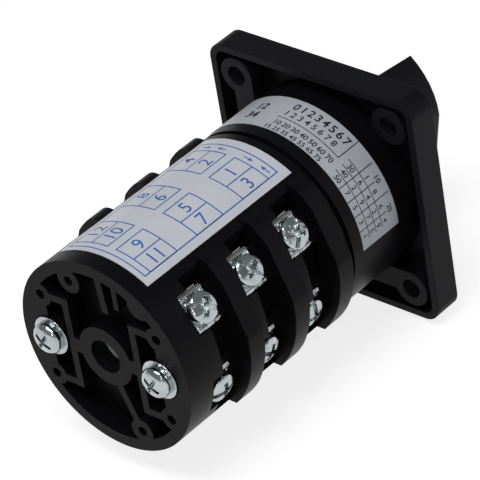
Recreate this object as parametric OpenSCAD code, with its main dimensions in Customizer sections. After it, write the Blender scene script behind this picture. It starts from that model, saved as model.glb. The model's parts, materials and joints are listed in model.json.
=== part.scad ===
// Rotary changeover switch, three contact decks behind a square front plate, all sizes in millimetres.
// The origin is on the shaft axis in the plane of the plate's rear rim, which lies on the panel.
// +Y runs back along the shaft, -Y to the handle, +Z up, and +X to the right for the user.

/* [Front plate] */
// Side of the square plate
plate_side = 64; // [60:1:80]
// Depth from the front face to the rear rim
plate_depth = 7.8; // [6:0.1:10]
// Radius of the outer corners
plate_corner_r = 4.7; // [3:0.1:7]
// Thickness of the rim wall
plate_wall = 2; // [1.2:0.1:2.4]
// Thickness of the front face
plate_face_t = 2.6; // [2:0.1:3.6]
// Distance of a panel screw hole from the plate's edges
hole_inset = 8; // [7:0.1:9]
// Diameter of a panel screw hole
hole_d = 5.2; // [3:0.1:6]
// Radius of the boss around a panel screw hole
corner_boss_r = 5; // [4:0.1:5.6]
// Distance of the aluminium dial from the plate's edges
dial_margin = 2.5; // [2:0.1:5]
// Thickness of the dial
dial_t = 0.6; // [0.3:0.1:1]
// Corner radius of the dial
dial_corner_r = 3; // [1:0.1:5]

/* [Body] */
// Diameter of the round body
body_d = 52.5; // [50:0.5:55]
// How far the index housing reaches behind the rim
drum_reach = 20.5; // [19:0.5:26]
// Thickness of the front barrier, groove and flange together
barrier_t = 7.8; // [7:0.1:10]
// Width of the groove in front of the barrier
groove_w = 1.5; // [0.8:0.1:2.4]
// Depth of that groove
groove_depth = 1.3; // [0.6:0.1:2]
// Length of one contact deck
deck_pitch = 16.6; // [16:0.1:20]
// Extra length of the rear deck
end_extra = 3.1; // [2:0.1:6]
// How far the side shields stand out
shield_proud = 1.75; // [1:0.05:2.5]
// Length of a side shield along the shaft
shield_len = 5.2; // [3:0.1:6]
// Height of the flat upper end of the shields
shield_top_z = 21.7; // [19:0.1:22]
// Rounding of that end
shield_round = 4.5; // [2:0.1:6]
// Depth of the flat lower end of the shields
shield_low_z = 19.3; // [18:0.1:22]
// Length of the wiring channel behind each shield
channel_len = 6.7; // [5:0.1:8]
// Depth of the wiring channel
channel_depth = 5.4; // [4:0.1:6]
// Rounding of the channel's rear edge
channel_edge_r = 2.2; // [0.5:0.1:3]
// Angle from the top at which the channel starts
channel_from_a = 38; // [36:1:42]
// Angle from the top at which the channel ends
channel_to_a = 136; // [132:1:140]
// Angle over which the channel's floor slopes up at its upper end
channel_ramp_a = 11; // [4:1:12]

/* [Terminals] */
// Distance of the screws behind the front of their deck
term_y = 7.6; // [7:0.1:8.2]
// Angle from the top of the higher screw of a side
term_high_a = 57; // [54:1:60]
// Angle from the top of the lower screw of a side
term_low_a = 108; // [104:1:112]
// Depth of the higher moulded seat below the body's surface
seat_high_depth = 2.35; // [1.85:0.05:3.25]
// Depth of the lower moulded seat below the body's surface
seat_low_depth = 4.35; // [3.65:0.05:4.85]
// Width of the clamp plates around the body
clamp_w = 10; // [8:0.1:10.2]
// Length of the clamp plates along the shaft
clamp_len = 7.4; // [6.6:0.1:8.4]
// Thickness of the clamp plates
clamp_t = 1; // [0.6:0.1:1.4]
// Height by which the ends of the clamp plates are turned up
clamp_lip_h = 0.6; // [0.2:0.1:1.2]
// Thickness of the contact strips
strip_t = 1; // [0.6:0.1:1.2]
// Width of the contact strips
strip_w = 6; // [4:0.1:6.6]
// Diameter of the terminal screw thread
term_screw_d = 4; // [3:0.1:4.2]
// Diameter of the terminal screw head
term_head_d = 7.8; // [6.5:0.1:8.4]
// Height of the terminal screw head
term_head_h = 2.5; // [1.6:0.1:2.8]
// Length of the terminal screw below its head
term_shank_len = 8.2; // [6:0.1:8.6]
// Thickness of the lock washer below the head
lock_washer_t = 0.7; // [0.4:0.1:1]

/* [Contacts] */
// Mean radius of the cams
cam_r = 9; // [8.6:0.1:9.6]
// Rise of a cam from its middle to its full radius
cam_rise = 1.5; // [1:0.1:1.7]
// Thickness of a cam
cam_t = 6; // [4:0.1:6.4]
// Height of the fixed contact strips above the axis
strip_z = 11.9; // [11.7:0.1:12.2]
// Height of a contact tip
tip_h = 0.6; // [0.3:0.1:0.8]
// Radius of a contact tip
tip_r = 1.5; // [1:0.1:1.8]
// Distance of the contact tips from the middle
tip_x = 9; // [8.5:0.1:9.3]
// Thickness of a contact bridge
bridge_t = 1.1; // [0.8:0.1:1.4]
// Half length of a contact bridge
bridge_reach = 10.8; // [10.6:0.1:11.2]
// Width of a contact plunger
plunger_w = 8; // [6:0.1:8.4]
// Radius of a contact spring's wire
spring_wire_r = 0.33; // [0.25:0.01:0.35]
// Radius of a contact spring to the middle of its wire
spring_r = 2.4; // [2.2:0.05:3]
// Number of curls of a spring
spring_turns = 4; // [3:0.5:4]

/* [Shaft and index gear] */
// Side of the square shaft
shaft_side = 6.2; // [5:0.1:6.25]
// Angle of each throw to either side of the middle
throw_a = 60; // [60:60]
// Radius of the hubs that run in the decks
hub_r = 6.5; // [6.2:0.1:7]
// Radius of the index wheel
index_r = 11.5; // [11:0.1:12]
// Thickness of the index wheel
index_t = 10; // [8:0.5:11]
// Radius of an index roller
roller_r = 2.5; // [2:0.1:2.8]
// How far an index roller drops into a notch
roller_drop = 1.6; // [1:0.1:1.8]
// Radius of the rear bearing
bearing_r = 4.5; // [4.45:0.05:5]

/* [Handle] */
// Height of the handle's front in front of the rim
handle_front = 37.8; // [32:0.1:44]
// Radius of the round skirt
skirt_r = 17.5; // [14:0.5:20]
// Height of the round skirt
skirt_h = 5; // [3:0.5:8]
// Distance of the pointer's tip from the axis at the front
grip_tip = 15.5; // [14:0.1:18]
// Half width of the grip at the front
grip_half = 7; // [6:0.1:9]
// Distance of the grip's blunt end from the axis
grip_tail = 17; // [14:0.1:20]
// Radius of the blunt end
grip_tail_r = 4.2; // [3:0.1:5]
// Front size of the grip as a share of its foot
grip_taper_share = 0.85; // [0.75:0.01:0.95]

/* [Rear face and bolts] */
// Thickness of the rear rim
rear_rim = 3.15; // [2:0.05:4]
// Depth of the rear recess
rear_recess = 5.5; // [3:0.1:6]
// Radius of the rear bearing boss
rear_boss_r = 8.1; // [7:0.1:9]
// Thickness of the rear ribs
rib_t = 2; // [1.4:0.1:2.4]
// Distance of the upright rear ribs from the axis
rib_x = 10.6; // [10.2:0.1:11]
// Height of the level rear ribs
rib_z = 11.9; // [11:0.1:13]
// Distance of the through bolts from the axis
bolt_x = 17.3; // [17:0.1:17.6]
// Diameter of the through bolts
bolt_d = 4; // [3:0.1:4.2]
// Diameter of the bolt heads
bolt_head_d = 8.2; // [7:0.1:9]
// Height of the bolt heads
bolt_head_h = 3.2; // [2.6:0.1:3.6]
// Diameter of the bolt washers
bolt_washer_d = 10.4; // [9:0.1:10.8]
// Thickness of the bolt washers
bolt_washer_t = 1; // [0.5:0.1:1.4]
// How far the shaft ends below the rear face
journal_drop = 4.8; // [4:0.1:6]

/* [Labels] */
// Distance of the rating label from the rim
rating_y = 3.64; // [1:0.1:4]
// Width of the rating label
rating_w = 13.4; // [10:0.1:14]
// Half angle that the rating label spans
rating_half_a = 92; // [60:1:120]
// Distance of the wiring label behind the index housing
wiring_gap = 4; // [2.5:0.1:6]
// Distance of the wiring label from the rear face
wiring_rear_gap = 4.7; // [2:0.1:8]
// Half angle that the wiring label spans
wiring_half_a = 31.9; // [20:0.1:33]
// Thickness of the labels
label_t = 0.15; // [0.1:0.01:0.3]

/* [Hidden] */
$fn = 64;

// Overrun of every cut, running fit between round pieces, and room between still pieces
over = 1;
run_fit = 0.06;
room = 0.1;

// Places along the shaft
body_r = body_d / 2;
plate_front_y = -plate_depth;
plate_floor_y = plate_front_y + plate_face_t;
drum_wall = 3;
drum_inside_y = plate_floor_y + drum_wall;
barrier_rear_y = drum_reach + barrier_t;
decks = 3;
rear_y = barrier_rear_y + decks * deck_pitch + end_extra;
recess_y = rear_y - rear_recess;
rear_wall = 2.4;
deck_floor = 2.5;
function deck_y(k) = barrier_rear_y + (k - 1) * deck_pitch;
function chamber_depth(k) = k < decks ? deck_pitch - deck_floor : recess_y - rear_wall - deck_y(k);

// Plate details
hole_pitch = plate_side - 2 * hole_inset;
dial_side = plate_side - 2 * dial_margin;
dial_hole_room = 0.6;
web_share = 0.65;
hub_hole_r = 9;
plate_screw_at = 18;
plate_screw_r = 1.5;
plate_screw_head_r = 2.9;
plate_screw_head_h = 1.6;
plate_slot_w = 0.8;

// Index housing details
drum_shell = 2.6;
drum_chamber_r = body_r - drum_shell;
bolt_r = bolt_d / 2;
bolt_room = 0.3;
bolt_hole_r = bolt_r + bolt_room;
bolt_pillar_wall = 2.2;
bolt_pillar_r = bolt_hole_r + bolt_pillar_wall;
nut_h_share = 0.8;
nut_r = bolt_d;
nut_h = nut_h_share * bolt_d;
slider_half = 4.8;
slider_rail = 1.7;
slider_cheek = 1;
slider_back = 2;
slider_inset = 1;
slider_nose = 0.3;
roller_rest_z = index_r + run_fit + roller_r;
slider_z = roller_rest_z + slider_cheek;
slider_top_z = roller_rest_z + roller_r + slider_back;
index_rail_gap = 2;
index_rail_z = roller_rest_z - roller_r + index_rail_gap;
index_spring_r = 3;
index_wire_r = 0.4;
index_turns = 3;
index_spring_gap = 0.5;
index_y = drum_inside_y + room;
slider_y = index_y + slider_inset;
slider_len = index_t - 2 * slider_inset;
index_spring_top_z = drum_chamber_r - index_spring_gap;
stop_t = 3;
stop_hub_r = 8;
stop_ring_r = 9.2;
stop_lug_r = 12.4;
stop_lug_half_a = 10;
stop_gap = 3;
stop_y = index_y + index_t + stop_gap;
stop_post_r = 1.5;
stop_post_at = 10.8;
stop_room_a = 0.8;
stop_post_a = throw_a + stop_lug_half_a + asin(stop_post_r / stop_post_at) + stop_room_a;
index_notches = 360 / throw_a;

// Deck details
shield_r = body_r + shield_proud;
channel_r = body_r - channel_depth;
shield_corner_z = shield_top_z - shield_round;
shield_corner_x = sqrt(pow(shield_r - shield_round, 2) - pow(shield_corner_z, 2));
shield_step_a = 7;
tip_room = 1.3;
chamber_half = tip_x + tip_r + tip_room;
chamber_wall = 1.6;
chamber_top_z = sqrt(pow(body_r - chamber_wall, 2) - pow(chamber_half, 2));
cam_room = 0.8;
cam_clear = 0.05;
cam_bore_r = cam_r + cam_rise + cam_room;
cam_y = term_y - cam_t / 2;
hub_gap = 0.05;
block_w = clamp_w + 4 * room;
notch_len = clamp_len + 4 * room;
term_screw_r = term_screw_d / 2;
term_bore_r = term_screw_r + room;
term_head_r = term_head_d / 2;
term_head_edge = 0.6;
clamp_knee_x = term_head_r + room;
clamp_lip_inset = 0.4;
clamp_lip_x = clamp_w / 2 - clamp_lip_inset;
term_slot_w = 1.3;
term_slot_depth = 1.4;
cross_share = 0.62;
washer_split_w = 0.6;
strip_inset = 0.4;
strip_seat = clamp_w / 2 - strip_inset;
knee_gap = 0.8;
knee_x = chamber_half + knee_gap;
tip_margin = 0.7;
strip_end_x = tip_x - tip_r - tip_margin;

// Moving contacts at rest, the middle of their travel
tip_gap = cam_rise + hub_gap;
bridge_z = strip_z + strip_t / 2 + 2 * tip_h + tip_gap;
bridge_top_z = bridge_z + bridge_t;
bridge_w = 5;
foot_r = 1.2;
foot_z = cam_r + cam_clear + foot_r;
waist_z = foot_z + foot_r;
plunger_t = 5.4;
post_r = 1.6;
post_room = 0.6;
post_top_z = chamber_top_z - cam_rise - post_room;
rail_low_z = strip_z - strip_t / 2 + room;
rail_top_z = bridge_z - cam_rise - 2 * room;
rail_t = 1.6;

// Shaft and handle details
shaft_hole = shaft_side + room;
journal_r = bearing_r - run_fit;
journal_y = recess_y - rear_wall;
journal_len = rear_y - journal_drop - journal_y;
handle_gap = 0.6;
skirt_y = plate_front_y - handle_gap;
grip_h = handle_front + skirt_y - skirt_h;
insert_t = 1;
insert_w = 3.2;
insert_len = 20;
insert_z = -1.5;
handle_screw_r = 1.6;
handle_screw_head_r = 3.4;
handle_screw_head_h = 2.2;
handle_slot_w = 0.9;
handle_slot_depth = 1;
handle_slot_share = 0.7;
handle_web = 3;
insert_gap = 0.6;
handle_screw_y = -handle_front + insert_t + handle_screw_head_h + insert_gap;
shaft_front_y = handle_screw_y + handle_web;
shaft_tap = 12;

// Rear face details
small_boss_r = 3.4;
small_hole_r = 1.3;
small_boss_at = [7.6, 19.3];
long_rib_shares = [[-0.084, 0.92], [-0.114, 0.52]];
short_rib_shares = [[-0.275, 0.88], [-0.265, 0.61]];
thin_rib_share = 0.8;
shoulder_shares = [-0.55, 0.74];
shoulder_r = 3.5;
corner_hole_at = [18.4, 11.6];
corner_pad_r = 3.2;
bolt_seat_drop = 0.6;
bolt_seat_inset = 0.2;
bolt_seat_r = bolt_washer_d / 2 - bolt_seat_inset;
bolt_seat_room = 0.3;
bolt_head_edge = 1.2;
bolt_slot_w = 1;
bolt_slot_depth = 1.8;
bolt_slot_share = 0.6;
blind_depth = 4;

// The four terminals of a deck, as angle from the top towards -X and seat radius
seat_high_r = body_r - seat_high_depth;
seat_low_r = body_r - seat_low_depth;
terminals = [[term_high_a, seat_high_r], [term_low_a, seat_low_r],
    [term_high_a + 180, seat_high_r], [term_low_a + 180, seat_low_r]];

// Angle at which the slot of each screw came to rest: for the first of each deck, and from one to the next
drive_turns = [-35, 27, 54];
drive_step_a = 40;
function drive_turn(k, i) = drive_turns[k - 1] + drive_step_a * i;

// A flat shape in X and Z, drawn out along Y
module along(y, len) {
    translate([0, y + len, 0]) rotate([90, 0, 0]) linear_extrude(len) children();
}

// A round bar on the shaft axis
module rod(r, y, len) {
    translate([0, y, 0]) rotate([-90, 0, 0]) cylinder(r = r, h = len);
}

// A ring sector about the shaft, from one angle to another, both measured from the top towards -X
module ring_sector(from_a, to_a) {
    rotate([-90, 0, 0]) rotate([0, 0, 270 - to_a])
        rotate_extrude(angle = to_a - from_a, $fn = 128) children();
}

// Turns what stands above the axis to the angle a from the top towards -X
module at_angle(a) {
    rotate([0, -a, 0]) children();
}

module rounded_square(side, r) {
    square([side - 2 * r, side], center = true);
    square([side, side - 2 * r], center = true);
    for (sx = [-1, 1], sz = [-1, 1]) translate([sx, sz] * (side / 2 - r)) circle(r);
}

module bolt_holes(y, len) {
    for (s = [-1, 1]) translate([s * bolt_x, 0, 0]) rod(bolt_hole_r, y, len);
}

// A bar of one thickness along a line of points, mitred at its bends
function unit(v) = v / norm(v);
function across(p, i) = let (d = unit(p[i + 1] - p[i])) [-d[1], d[0]];
function edge_point(p, i, h) =
    i == 0 ? p[0] + h * across(p, 0) :
    i == len(p) - 1 ? p[i] + h * across(p, i - 1) :
    let (a = across(p, i - 1), m = unit(a + across(p, i))) p[i] + m * h / (m * a);
module bent_bar(p, t) {
    polygon(concat([for (i = [0 : len(p) - 1]) edge_point(p, i, t / 2)],
        [for (i = [len(p) - 1 : -1 : 0]) edge_point(p, i, -t / 2)]));
}

// A round wire wound about Z from the origin up, as one unbroken tube
curl_rings = 8;
wire_sides = 6;
function coil_point(r, rise, i, n) = let (a = 360 * i / curl_rings) [r * cos(a), r * sin(a), rise * i / n];
function coil_ring(r, wire_r, rise, i, n) = let (a = 360 * i / curl_rings, c = coil_point(r, rise, i, n))
    [for (j = [0 : wire_sides - 1]) let (b = 360 * j / wire_sides)
        c + wire_r * [cos(b) * cos(a), cos(b) * sin(a), sin(b)]];
module coil(r, wire_r, height, turns) {
    n = turns * curl_rings;
    rise = height - 2 * wire_r;
    points = [for (i = [0 : n]) each coil_ring(r, wire_r, rise, i, n)];
    sides = [for (i = [0 : n - 1], j = [0 : wire_sides - 1]) let (k = (j + 1) % wire_sides)
        each [[i * wire_sides + j, (i + 1) * wire_sides + j, (i + 1) * wire_sides + k],
            [i * wire_sides + j, (i + 1) * wire_sides + k, i * wire_sides + k]]];
    ends = [[for (j = [0 : wire_sides - 1]) j], [for (j = [wire_sides - 1 : -1 : 0]) n * wire_sides + j]];
    translate([0, 0, wire_r]) polyhedron(points, concat(sides, ends));
}
contact_spring_h = chamber_top_z - bridge_top_z;
spring_n = spring_turns * curl_rings;
spring_gap = min([for (i = [curl_rings : spring_n])
    norm(coil_point(spring_r, contact_spring_h - 2 * spring_wire_r, i, spring_n)
        - coil_point(spring_r, contact_spring_h - 2 * spring_wire_r, i - curl_rings, spring_n))])
    - 2 * spring_wire_r;
echo(contact_spring_least_gap_mm = spring_gap);

// Front plate: a square cup, open to the rear, with a boss at each corner and two webs to the body
module corner_bosses_2d() {
    at = hole_pitch / 2;
    web_w = 2 * corner_boss_r * web_share;
    for (sx = [-1, 1], sz = [-1, 1]) translate([sx, sz] * at) circle(corner_boss_r);
    translate([at - corner_boss_r, 0]) square([web_w, at]);
    translate([-at, corner_boss_r - at - web_w]) square([at, web_w]);
}

module front_plate() {
    inner_side = plate_side - 2 * plate_wall;
    inner_corner_r = plate_corner_r - plate_wall;
    color("#232326") difference() {
        along(plate_front_y, plate_depth) rounded_square(plate_side, plate_corner_r);
        along(plate_floor_y, over - plate_floor_y) difference() {
            rounded_square(inner_side, inner_corner_r);
            corner_bosses_2d();
        }
        rod(body_r + room, plate_floor_y, over - plate_floor_y);
        along(plate_front_y - over, dial_t + over) rounded_square(dial_side + 2 * room, dial_corner_r);
        rod(hub_hole_r + room, plate_front_y - over, plate_depth);
        for (sx = [-1, 1], sz = [-1, 1]) translate([sx * hole_pitch / 2, 0, sz * hole_pitch / 2])
            rod(hole_d / 2, plate_front_y - over, plate_depth + 2 * over);
        at_plate_screws() rotate([-90, 0, 0]) {
            cylinder(r = plate_screw_r + room, h = plate_depth);
            cylinder(r = plate_screw_head_r + room, h = plate_screw_head_h + room);
        }
    }
}

module at_plate_screws() {
    for (a = [45, 225]) at_angle(a) translate([0, plate_front_y + dial_t, plate_screw_at]) children();
}

module dial_plate() {
    color("#c9cbcc") difference() {
        along(plate_front_y, dial_t) rounded_square(dial_side, dial_corner_r);
        rod(hub_hole_r + room, plate_front_y - over, dial_t + 2 * over);
        for (sx = [-1, 1], sz = [-1, 1]) translate([sx * hole_pitch / 2, 0, sz * hole_pitch / 2])
            rod(hole_d / 2 + dial_hole_room, plate_front_y - over, dial_t + 2 * over);
    }
}

module plate_screws() {
    color("#b8babd") at_plate_screws() rotate([-90, 0, 0]) difference() {
        union() {
            cylinder(r = plate_screw_head_r, h = plate_screw_head_h);
            cylinder(r = plate_screw_r, h = plate_face_t - dial_t + drum_wall);
        }
        translate([-plate_screw_head_r - over, -plate_slot_w / 2, -over])
            cube([2 * (plate_screw_head_r + over), plate_slot_w, plate_screw_head_h / 2 + over]);
    }
}

// Index housing: a drum with pillars for the bolts and rails for the index sliders
module index_housing() {
    chamber_len = drum_reach - drum_inside_y;
    color("#1d1d20") difference() {
        union() {
            difference() {
                rod(body_r, plate_floor_y, drum_reach - plate_floor_y);
                rod(drum_chamber_r, drum_inside_y, chamber_len + over);
            }
            rod(hub_hole_r, plate_front_y, plate_face_t);
            intersection() {
                rod(drum_chamber_r + drum_shell / 2, drum_inside_y - over, chamber_len + over);
                for (s = [-1, 1]) translate([s * bolt_x, 0, 0]) {
                    rod(bolt_pillar_r, drum_inside_y - over, chamber_len + over);
                }
            }
            intersection() {
                rod(drum_chamber_r + drum_shell / 2, drum_inside_y - over, index_t + over);
                for (sx = [-1, 1], sz = [-1, 1]) along(drum_inside_y - over, index_t + over)
                    translate([sx * (slider_half + room + slider_rail / 2), sz * (index_rail_z + body_r / 2)])
                        square([slider_rail, body_r], center = true);
            }
        }
        rod(hub_r + run_fit, plate_front_y - over, plate_depth + over);
        bolt_holes(plate_floor_y - over, drum_reach - plate_floor_y + 2 * over);
        for (s = [-1, 1]) translate([s * bolt_x, plate_floor_y - over, 0]) rotate([-90, 0, 0])
            cylinder(r = nut_r + room, h = nut_h + over, $fn = 6);
        at_plate_screws() rotate([-90, 0, 0]) cylinder(r = plate_screw_r + room, h = plate_depth);
    }
}

module rating_label() {
    color("#d3d5d8") ring_sector(-rating_half_a, rating_half_a)
        translate([body_r + label_t / 10, rating_y]) square([label_t, rating_w]);
}

// A side shield on either side, cut level at its upper and lower end, with the upper corner rounded
module shields(y) {
    lean = atan2(shield_corner_x, shield_corner_z);
    corner = [for (a = [0 : shield_step_a : lean])
        [shield_corner_x, shield_corner_z] + shield_round * [sin(a), cos(a)]];
    last = corner[len(corner) - 1];
    right = concat(corner, [last + shield_round * [cos(lean), -sin(lean)],
        [shield_r + over, 0], [shield_r + over, -shield_low_z]]);
    along(y, shield_len) intersection() {
        circle(shield_r);
        polygon(concat(right, [for (i = [len(right) - 1 : -1 : 0]) [-right[i][0], right[i][1]]]));
    }
}

module front_barrier() {
    flange_y = drum_reach + groove_w;
    post_len = drum_reach - stop_y + stop_t / 2;
    color("#1b1b1e") difference() {
        union() {
            rod(body_r - groove_depth, drum_reach, groove_w);
            rod(body_r, flange_y, barrier_t - groove_w);
            shields(barrier_rear_y - shield_len);
            for (s = [-1, 1]) at_angle(s * stop_post_a) translate([0, 0, stop_post_at])
                rod(stop_post_r, drum_reach - post_len, post_len + over);
        }
        rod(hub_r + run_fit, drum_reach - over, barrier_t + 2 * over);
        bolt_holes(drum_reach - over, barrier_t + 2 * over);
    }
}

// The line of a contact strip, from below its clamp inwards to the fixed contact
function strip_line(a, r) = let (s = sin(a) > 0 ? 1 : -1, c = [-sin(a), cos(a)] * (r + strip_t / 2),
        t = s * [cos(a), sin(a)])
    [c - strip_seat * t, c + strip_seat * t, [-s * knee_x, strip_z], [-s * strip_end_x, strip_z]];
upper_terminals = [terminals[0], terminals[3]];

// Draws a piece of the upper contact, and once more for the lower one, half a turn round
module both_contacts() {
    for (a = [0, 180]) at_angle(a) children();
}

module channel() {
    side_r = shield_r + over;
    edge_y = channel_len;
    edge_r = channel_edge_r;
    edge_at = body_r - edge_r + room;
    spans = [[channel_from_a, channel_to_a], [-channel_to_a, -channel_from_a]];
    for (span = spans) ring_sector(span[0], span[1]) difference() {
        union() {
            translate([channel_r, -over]) square([side_r - channel_r, edge_y + over]);
            translate([edge_at, edge_y]) square([side_r - edge_at, edge_r]);
        }
        translate([edge_at, edge_y + edge_r]) circle(edge_r);
    }
}

// What stays at the upper end of each channel, where its floor slopes up to the surface
module channel_ramps() {
    low_r = channel_r - over;
    before_a = channel_from_a - channel_ramp_a;
    ends = [[body_r + room, channel_from_a], [low_r, channel_from_a + channel_ramp_a], [low_r, before_a],
        [body_r, before_a]];
    for (s = [-1, 1]) along(-2 * over, deck_pitch)
        polygon([for (p = ends) p[0] * [s * sin(p[1]), cos(p[1])]]);
}

module terminal_block(t) {
    at_angle(t[0]) translate([-block_w / 2, -2 * over, 0]) cube([block_w, deck_pitch, t[1]]);
}

module terminal_notch(t) {
    at_angle(t[0]) {
        translate([-block_w / 2, term_y - notch_len / 2, t[1]]) cube([block_w, notch_len, shield_r]);
        translate([0, term_y, t[1] - shank_depth(t)]) cylinder(r = term_bore_r, h = shield_r);
    }
}
function shank_depth(t) = term_shank_len - strip_t - clamp_t - lock_washer_t + room;

module deck_shell(k) {
    length = k < decks ? deck_pitch : deck_pitch + end_extra;
    depth = chamber_depth(k);
    difference() {
        union() {
            rod(body_r, 0, length);
            if (k < decks) shields(length - shield_len);
        }
        difference() {
            channel();
            channel_ramps();
            for (t = terminals) terminal_block(t);
        }
        for (t = terminals) terminal_notch(t);
        along(-over, depth + over) {
            circle(cam_bore_r);
            square(2 * [chamber_half, chamber_top_z], center = true);
        }
        both_contacts() for (t = upper_terminals) along(-over, term_y + strip_w / 2 + room + over)
            bent_bar(strip_line(t[0], t[1]), strip_t + 2 * room);
        bolt_holes(-over, length + 2 * over);
        rod(k < decks ? hub_r + run_fit : bearing_r, -over, length + 2 * over);
    }
    both_contacts() for (s = [-1, 1]) along(0, depth + over)
        translate([s * (plunger_w / 2 + room + rail_t / 2) - rail_t / 2, rail_low_z])
            square([rail_t, rail_top_z - rail_low_z]);
}

// Ribs, bosses and pads that stand in the recess of the rear face
module rear_ribs_2d() {
    circle(rear_boss_r);
    for (turn = [0, 180]) rotate(turn) {
        bent_bar([[body_r, rib_z], [rib_x, rib_z], [rib_x, -rib_z], [body_r, -rib_z]], rib_t);
        translate([rear_boss_r - rib_t, -rib_t]) square([rib_x - rear_boss_r + rib_t, 2 * rib_t]);
        translate(small_boss_at) circle(small_boss_r);
        translate([bolt_x, -corner_hole_at[1]]) square([body_r - bolt_x, 2 * corner_hole_at[1]]);
        for (s = [-1, 1]) translate([corner_hole_at[0], s * corner_hole_at[1]]) circle(corner_pad_r);
    }
    bent_bar([[0, 0], -small_boss_at], rib_t);
    bent_bar(long_rib_shares * body_r, rib_t);
    bent_bar(short_rib_shares * body_r, rib_t * thin_rib_share);
    translate(shoulder_shares * body_r) circle(shoulder_r);
}

module rear_face_cuts() {
    translate([0, -deck_y(decks), 0]) {
        along(recess_y, rear_recess + over) difference() {
            circle(body_r - rear_rim);
            rear_ribs_2d();
        }
        for (turn = [0, 180]) at_angle(turn) {
            translate([small_boss_at[0], rear_y - blind_depth, small_boss_at[1]]) rotate([-90, 0, 0])
                cylinder(r = small_hole_r, h = blind_depth + over);
            for (s = [-1, 1]) translate([corner_hole_at[0], rear_y - blind_depth, s * corner_hole_at[1]])
                rotate([-90, 0, 0]) cylinder(r = small_hole_r, h = blind_depth + over);
            translate([bolt_x, 0, 0])
                rod(bolt_washer_d / 2 + bolt_seat_room, rear_y - bolt_seat_drop, bolt_seat_drop + over);
        }
    }
}

module contact_deck(k) {
    color("#1b1b1e") {
        translate([0, deck_y(k), 0]) difference() {
            deck_shell(k);
            if (k == decks) rear_face_cuts();
        }
        if (k == decks) for (s = [-1, 1]) translate([s * bolt_x, 0, 0]) difference() {
            rod(bolt_seat_r, recess_y - rear_wall / 2, rear_recess + rear_wall / 2 - bolt_seat_drop);
            rod(bolt_hole_r, recess_y - rear_wall, rear_recess + rear_wall);
        }
    }
}

module fixed_contacts(k) {
    color("#c9c1a6") translate([0, deck_y(k), 0]) both_contacts() for (t = upper_terminals) {
        difference() {
            along(term_y - strip_w / 2, strip_w) bent_bar(strip_line(t[0], t[1]), strip_t);
            at_angle(t[0]) translate([0, term_y, t[1] - over])
                cylinder(r = term_screw_r + room / 2, h = strip_t + 2 * over);
        }
        translate([t[0] > 180 ? tip_x : -tip_x, term_y, strip_z])
            cylinder(r = tip_r, h = strip_t / 2 + tip_h);
    }
}

module clamp_plates(k) {
    color("#c8cacc") translate([0, deck_y(k), 0]) for (t = terminals) at_angle(t[0])
        translate([0, term_y, t[1] + strip_t]) difference() {
            along(-clamp_len / 2, clamp_len) bent_bar([[-clamp_lip_x, clamp_t / 2 + clamp_lip_h],
                [-clamp_knee_x, clamp_t / 2], [clamp_knee_x, clamp_t / 2],
                [clamp_lip_x, clamp_t / 2 + clamp_lip_h]], clamp_t);
            translate([0, 0, -over]) cylinder(r = term_bore_r, h = clamp_t + 2 * over);
        }
}

// Split lock washers, so small that they lie within the flat of the clamp plates
module lock_washers() {
    washer_r = term_head_r - room;
    color("#b0b2b5") for (k = [1 : decks], i = [0 : len(terminals) - 1]) let (t = terminals[i])
        translate([0, deck_y(k), 0]) at_angle(t[0])
            translate([0, term_y, t[1] + strip_t + clamp_t]) rotate(2 * drive_turn(k, i)) difference() {
                cylinder(r = washer_r, h = lock_washer_t);
                translate([0, 0, -over]) cylinder(r = term_bore_r, h = lock_washer_t + 2 * over);
                translate([0, -washer_split_w / 2, -over])
                    cube([washer_r + over, washer_split_w, lock_washer_t + 2 * over]);
            }
}

// A flat screw head with a rounded edge
module pan_head(r, h, edge) {
    rotate_extrude() {
        square([r, h - edge]);
        square([r - edge, h]);
        translate([r - edge, h - edge]) circle(edge);
    }
}

// A straight slot across the top of a screw head that ends at height zero, and a shorter one across it
module drive_cut(head_r, depth, slot_w) {
    translate([-head_r - over, -slot_w / 2, -depth]) cube([2 * (head_r + over), slot_w, depth + over]);
    translate([-slot_w / 2, -head_r * cross_share, -depth])
        cube([slot_w, 2 * head_r * cross_share, depth + over]);
}

module terminal_screws(k) {
    color("#c4c6c9") translate([0, deck_y(k), 0]) for (i = [0 : len(terminals) - 1]) let (t = terminals[i])
        at_angle(t[0]) translate([0, term_y, t[1] + strip_t + clamp_t + lock_washer_t]) difference() {
            union() {
                pan_head(term_head_r, term_head_h, term_head_edge);
                translate([0, 0, -term_shank_len]) cylinder(r = term_screw_r, h = term_shank_len);
            }
            translate([0, 0, term_head_h]) rotate(drive_turn(k, i))
                drive_cut(term_head_r, term_slot_depth, term_slot_w);
        }
}

module wiring_label() {
    start_y = drum_reach + wiring_gap;
    color("#d8dde2") ring_sector(-wiring_half_a, wiring_half_a)
        translate([body_r + label_t / 10, start_y]) square([label_t, rear_y - wiring_rear_gap - start_y]);
}

// Through bolts from the rear face to nuts in the index housing
bolt_face_y = rear_y - bolt_seat_drop + bolt_washer_t;
module through_bolts() {
    tip_y = plate_floor_y + room;
    head_r = bolt_head_d / 2;
    slot_len = 2 * head_r * bolt_slot_share;
    color("#c4c6c9") for (s = [-1, 1]) translate([s * bolt_x, bolt_face_y, 0]) rotate([-90, 0, 0])
        difference() {
            union() {
                pan_head(head_r, bolt_head_h, bolt_head_edge);
                translate([0, 0, tip_y - bolt_face_y]) cylinder(r = bolt_r, h = bolt_face_y - tip_y);
            }
            translate([0, 0, bolt_head_h]) for (a = [0, 90]) rotate(drive_turns[0] + a)
                translate([-slot_len / 2, -bolt_slot_w / 2, -bolt_slot_depth])
                    cube([slot_len, bolt_slot_w, bolt_slot_depth + over]);
        }
}

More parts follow.
